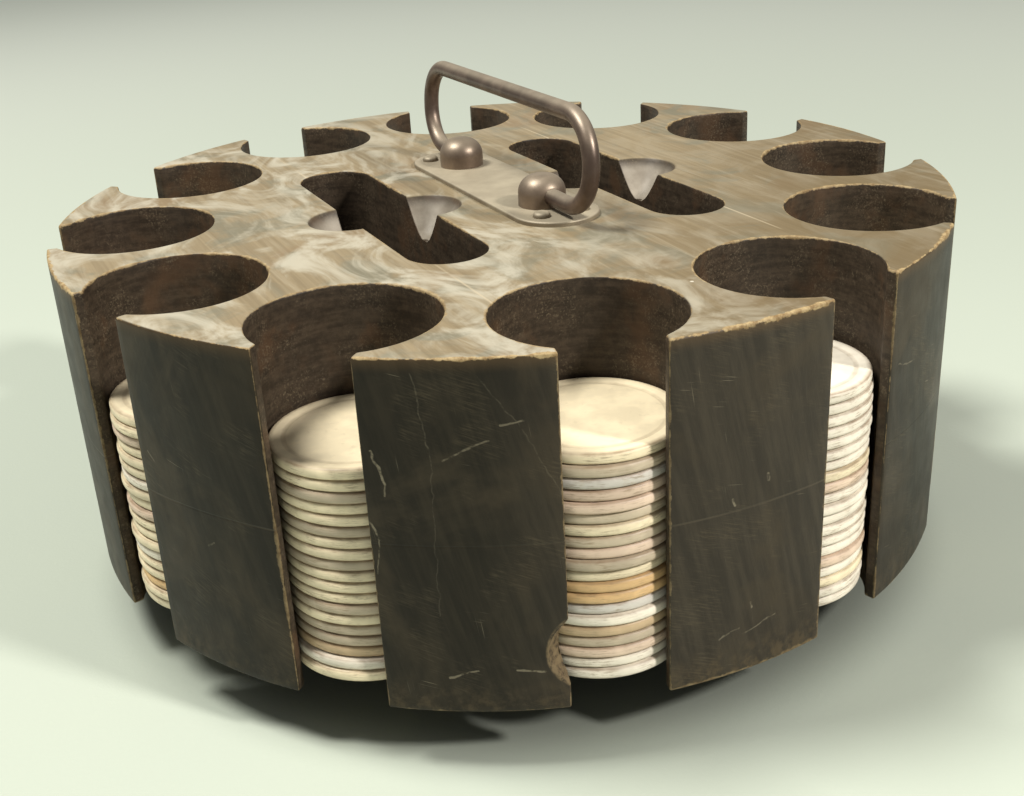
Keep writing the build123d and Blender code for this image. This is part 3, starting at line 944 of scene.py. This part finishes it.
# ---------------------------------------------------------------- carried-over CAD nodes
def dress(node, material):
    """Gives a CAD node its material.  Its shape and place stay as they are."""
    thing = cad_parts[node]
    if not thing.material_slots:
        thing.data.materials.append(material)
    for material_slot in thing.material_slots:
        material_slot.material = material


# ---------------------------------------------------------------- build
wood = carousel_wood()
upper_layer(wood)
lower_layer(wood)
chip_material = composition()
for number in range(WELLS):
    chip_stack(number, chip_material)

under = hidden_wood()
dress("base_disc", under)
dress("floor_disc", under)
felt_ring(felt())
steel = old_metal("plain_steel", (0.20, 0.18, 0.16), (0.42, 0.40, 0.37), 0.3, 0.5)
for node_name in ("pivot_bolt", "top_washer", "pivot_nut", "floor_screws"):
    dress(node_name, steel)
dress("pivot_bushing", old_metal("old_brass", (0.30, 0.19, 0.07), (0.62, 0.45, 0.18), 0.25, 0.45))
dress("thrust_washer", old_metal("red_fibre", (0.12, 0.035, 0.02), (0.22, 0.07, 0.04), 0.5, 0.7, 0.0))
plate_metal = old_metal("dusty_plate", (0.22, 0.180, 0.125), (0.34, 0.29, 0.205), 0.36, 0.55, 0.5, 0.75)
post_metal = old_metal("brown_posts", (0.140, 0.102, 0.075), (0.25, 0.190, 0.140), 0.30, 0.46, 0.6, 0.42)
bail_metal = old_metal("brown_bail", (0.092, 0.062, 0.048), (0.178, 0.127, 0.098), 0.28, 0.44, 0.6, 0.62)
dress("handle_plate", plate_metal)
dress("plate_screws", plate_metal)
dress("post_front", post_metal)
dress("post_rear", post_metal)
dress("bail", bail_metal)


# ---------------------------------------------------------------- floor, light and camera
def floor_plane():
    size = 6.0
    mesh = bpy.data.meshes.new("floor")
    corners = [(-size, -size, 0), (size, -size, 0), (size, size, 0), (-size, size, 0)]
    mesh.from_pydata(corners, [], [(0, 1, 2, 3)])
    plane = bpy.data.objects.new("floor", mesh)
    bpy.context.collection.objects.link(plane)
    mesh.materials.append(pale_floor())


def soft_light(name, place, size, power, colour):
    data = bpy.data.lights.new(name, "AREA")
    data.shape = "DISK"
    data.size = size
    data.energy = power
    data.color = colour
    lamp = bpy.data.objects.new(name, data)
    lamp.location = place
    lamp.rotation_mode = "QUATERNION"
    aim = Vector((0, 0, BODY_TOP / 2)) - Vector(place)
    lamp.rotation_quaternion = aim.to_track_quat("-Z", "Y")
    bpy.context.collection.objects.link(lamp)


CAMERA_AZIMUTH = math.radians(-24.72)
CAMERA_ELEVATION = math.radians(24.23)
CAMERA_ROLL = math.radians(-3.27)
CAMERA_REACH = 2.890 * BODY_RADIUS
CAMERA_HEIGHT = 1.476 * BODY_RADIUS + BODY_BOTTOM
CAMERA_LENS = 45.12


def camera():
    data = bpy.data.cameras.new("camera")
    data.lens = CAMERA_LENS
    data.sensor_width = 36
    eye = bpy.data.objects.new("camera", data)
    sa, ca = math.sin(CAMERA_AZIMUTH), math.cos(CAMERA_AZIMUTH)
    se, ce = math.sin(CAMERA_ELEVATION), math.cos(CAMERA_ELEVATION)
    back = Vector((sa * ce, -ca * ce, se))
    right = Vector((ca, sa, 0))
    up = back.cross(right)
    c, s = math.cos(CAMERA_ROLL), math.sin(CAMERA_ROLL)
    rolled_right = c * right + s * up
    rolled_up = c * up - s * right
    turn = Matrix((rolled_right, rolled_up, back)).transposed()
    place = Vector((CAMERA_REACH * sa, -CAMERA_REACH * ca, CAMERA_HEIGHT))
    eye.matrix_world = Matrix.Translation(place) @ turn.to_4x4()
    bpy.context.collection.objects.link(eye)
    bpy.context.scene.camera = eye


floor_plane()
camera()
soft_light("overhead_lamp", (-0.50, 0.22, 1.20), 0.40, 20.5, (1.0, 0.975, 0.91))
soft_light("side_lamp", (0.48, -0.84, 0.78), 0.13, 14, (1.0, 0.955, 0.90))
world = bpy.data.worlds.new("room")
world.use_nodes = True
world.node_tree.nodes["Background"].inputs["Color"].default_value = (0.95, 0.95, 0.90, 1)
world.node_tree.nodes["Background"].inputs["Strength"].default_value = 0.27
bpy.context.scene.world = world
bpy.context.scene.view_settings.view_transform = "Standard"
